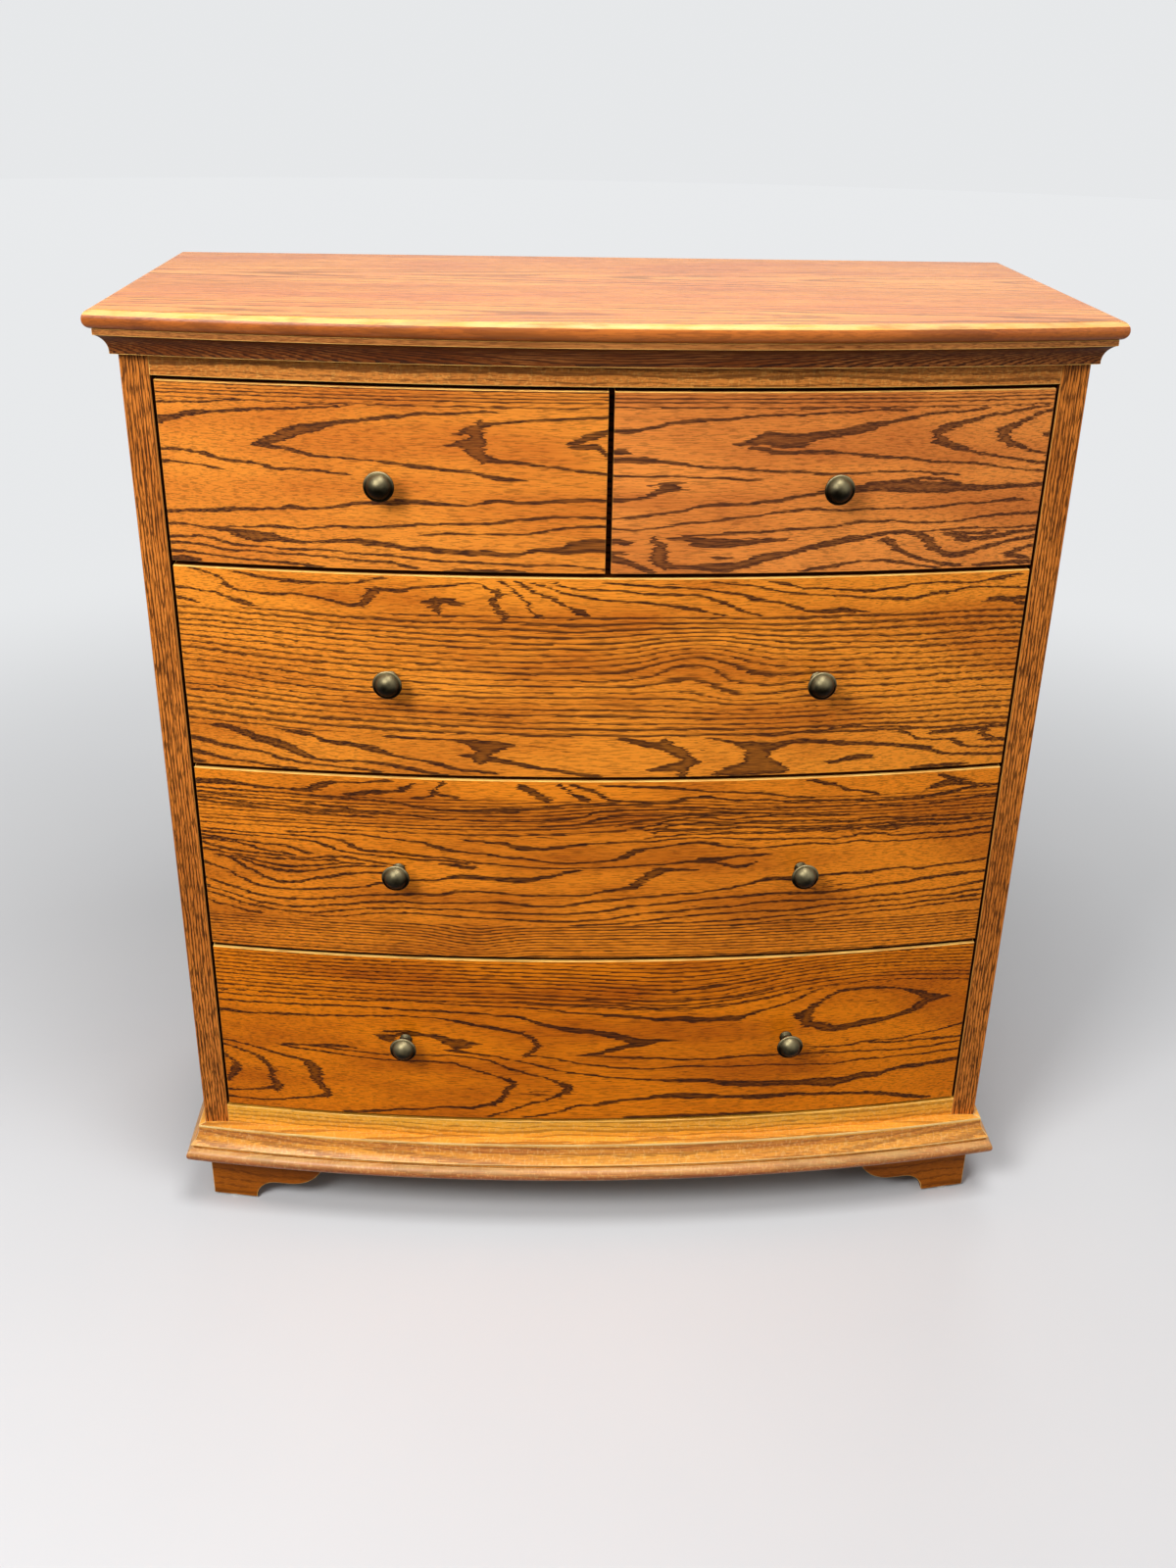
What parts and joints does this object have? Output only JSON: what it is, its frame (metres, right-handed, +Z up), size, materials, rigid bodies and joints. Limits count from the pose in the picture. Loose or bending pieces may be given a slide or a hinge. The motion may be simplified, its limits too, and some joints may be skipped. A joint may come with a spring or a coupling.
{
  "type": "chest of drawers",
  "caption": "Bow fronted oak chest with small drawers over wide ones, round metal knobs, coved cornice, moulded plinth and scrolled bracket feet, for storing clothes.",
  "frame": {"origin": "on the floor, under the middle of the chest's box", "axes": "+Z up, +X to the right seen from the front, +Y to the back, so the drawers open along -Y"},
  "size_m": [1, 0.4922, 1.08],
  "materials": {
    "oak_stained": "satin lacquer",
    "oak_interior": "planed, unpolished",
    "oak_ply": "veneered board",
    "antique_brass": "aged, dark",
    "screw_steel": "zinc plated",
    "glide_plastic": "moulded"
  },
  "bodies": {
    "carcass": {"top_board": "oak_stained", "cornice_front": "oak_stained", "cornice_left": "oak_stained", "cornice_right": "oak_stained", "side_panel_left": "oak_stained", "side_panel_right": "oak_stained", "front_stile_left": "oak_stained", "front_stile_right": "oak_stained", "top_rail": "oak_stained", "bottom_rail": "oak_stained", "centre_partition": "oak_interior", "drawer_rail_upper": "oak_interior", "drawer_rail_middle": "oak_interior", "drawer_rail_lower": "oak_interior", "back_panel": "oak_ply", "base_board": "oak_ply", "plinth_front": "oak_stained", "plinth_left": "oak_stained", "plinth_right": "oak_stained", "foot_front_left": "oak_stained", "foot_front_right": "oak_stained", "foot_rear_left": "oak_stained", "foot_rear_right": "oak_stained", "foot_glides": "glide_plastic", "drawer_runners": "oak_interior"},
    "lower_drawer": {"lower_drawer_front": "oak_stained", "lower_drawer_side_left": "oak_interior", "lower_drawer_side_right": "oak_interior", "lower_drawer_back": "oak_interior", "lower_drawer_bottom": "oak_ply", "lower_drawer_knobs": "antique_brass", "lower_drawer_knob_screws": "screw_steel"},
    "middle_drawer": {"middle_drawer_front": "oak_stained", "middle_drawer_side_left": "oak_interior", "middle_drawer_side_right": "oak_interior", "middle_drawer_back": "oak_interior", "middle_drawer_bottom": "oak_ply", "middle_drawer_knobs": "antique_brass", "middle_drawer_knob_screws": "screw_steel"},
    "upper_drawer": {"upper_drawer_front": "oak_stained", "upper_drawer_side_left": "oak_interior", "upper_drawer_side_right": "oak_interior", "upper_drawer_back": "oak_interior", "upper_drawer_bottom": "oak_ply", "upper_drawer_knobs": "antique_brass", "upper_drawer_knob_screws": "screw_steel"},
    "top_left_drawer": {"top_left_drawer_front": "oak_stained", "top_left_drawer_side_left": "oak_interior", "top_left_drawer_side_right": "oak_interior", "top_left_drawer_back": "oak_interior", "top_left_drawer_bottom": "oak_ply", "top_left_drawer_knobs": "antique_brass", "top_left_drawer_knob_screws": "screw_steel"},
    "top_right_drawer": {"top_right_drawer_front": "oak_stained", "top_right_drawer_side_left": "oak_interior", "top_right_drawer_side_right": "oak_interior", "top_right_drawer_back": "oak_interior", "top_right_drawer_bottom": "oak_ply", "top_right_drawer_knobs": "antique_brass", "top_right_drawer_knob_screws": "screw_steel"}
  },
  "joints": [
    {"name": "lower_drawer_slide", "type": "slide", "parent": "carcass", "child": "lower_drawer", "axis": [0, -1, 0], "range_m": [0, 0.3]},
    {"name": "middle_drawer_slide", "type": "slide", "parent": "carcass", "child": "middle_drawer", "axis": [0, -1, 0], "range_m": [0, 0.3]},
    {"name": "upper_drawer_slide", "type": "slide", "parent": "carcass", "child": "upper_drawer", "axis": [0, -1, 0], "range_m": [0, 0.3]},
    {"name": "top_left_drawer_slide", "type": "slide", "parent": "carcass", "child": "top_left_drawer", "axis": [0, -1, 0], "range_m": [0, 0.3]},
    {"name": "top_right_drawer_slide", "type": "slide", "parent": "carcass", "child": "top_right_drawer", "axis": [0, -1, 0], "range_m": [0, 0.3]}
  ]
}
